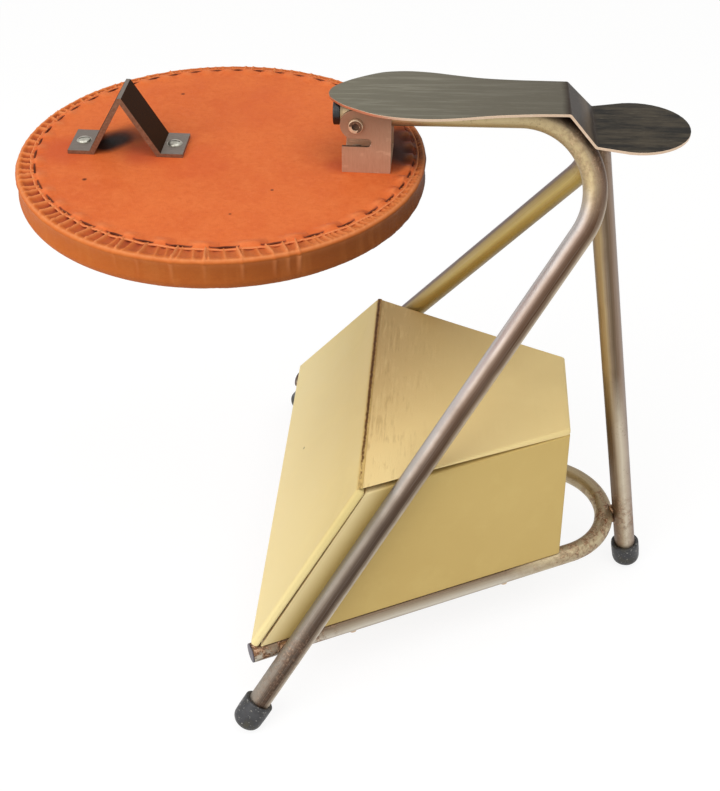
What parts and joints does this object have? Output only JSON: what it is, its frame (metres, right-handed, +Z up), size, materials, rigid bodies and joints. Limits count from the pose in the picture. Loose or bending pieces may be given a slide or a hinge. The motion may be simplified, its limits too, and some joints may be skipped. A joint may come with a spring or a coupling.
{
  "type": "folding shoe shine chair",
  "caption": "Bent-tube shoe shine chair: a sole-shaped footplate on splayed legs, a round leather seat that hinges over it, and a tapered lidded box below.",
  "frame": {"origin": "on the floor, straight under the seat hinge and in the middle of the object's footprint", "axes": "+X along the footplate from toe to heel, +Y to the far leg, +Z up from the floor"},
  "size_m": [0.5096, 0.4402, 0.462],
  "materials": {
    "nickel_tube": "worn nickel",
    "nickel_rail": "worn, tarnished",
    "plate_steel": "satin",
    "bracket_steel": "satin",
    "strip_steel": "dull",
    "bolt_steel": "satin",
    "steel_cap": "matte",
    "weld": "matte",
    "black_plastic": "gloss",
    "grey_rubber": "matte",
    "plywood": "matte",
    "foam": "matte",
    "tan_leather": "satin",
    "tan_leather_flat": "satin",
    "dark_thread": "matte",
    "box_cloth": "satin",
    "lid_cloth": "satin",
    "brown_seam": "matte"
  },
  "bodies": {
    "stand": {"front_tube": "nickel_tube", "rear_tube": "nickel_tube", "heel_leg": "nickel_tube", "rail_tube": "nickel_rail", "tube_plugs": "black_plastic", "rail_caps": "steel_cap", "front_foot": "grey_rubber", "rear_foot": "grey_rubber", "heel_foot": "grey_rubber", "foot_plate": "plate_steel", "plate_welds": "weld", "rail_welds": "weld", "hinge_bolt": "bolt_steel", "hinge_nut": "bolt_steel", "hinge_spacers": "bolt_steel", "box_floor": "plywood", "box_front": "box_cloth", "box_back": "box_cloth", "box_end": "box_cloth", "box_top": "box_cloth", "box_screws": "bolt_steel", "hinge_strip": "brown_seam"},
    "seat": {"seat_bracket": "bracket_steel", "bracket_screws": "bolt_steel", "seat_board": "plywood", "seat_pad": "foam", "seat_cover": "tan_leather", "seat_underlay": "tan_leather_flat", "seat_lacing": "dark_thread", "seat_rest": "strip_steel", "rest_screws": "bolt_steel"},
    "lid": {"lid_panel": "lid_cloth"}
  },
  "joints": [
    {"name": "seat_hinge", "type": "hinge", "parent": "stand", "child": "seat", "pos_m": [0, 0, 0.4475], "axis": [0, 1, 0], "range_deg": [0, 178.9]},
    {"name": "lid_hinge", "type": "hinge", "parent": "stand", "child": "lid", "pos_m": [0.0054, 0, 0.19405], "axis": [0, 1, 0], "range_deg": [0, 100]}
  ]
}
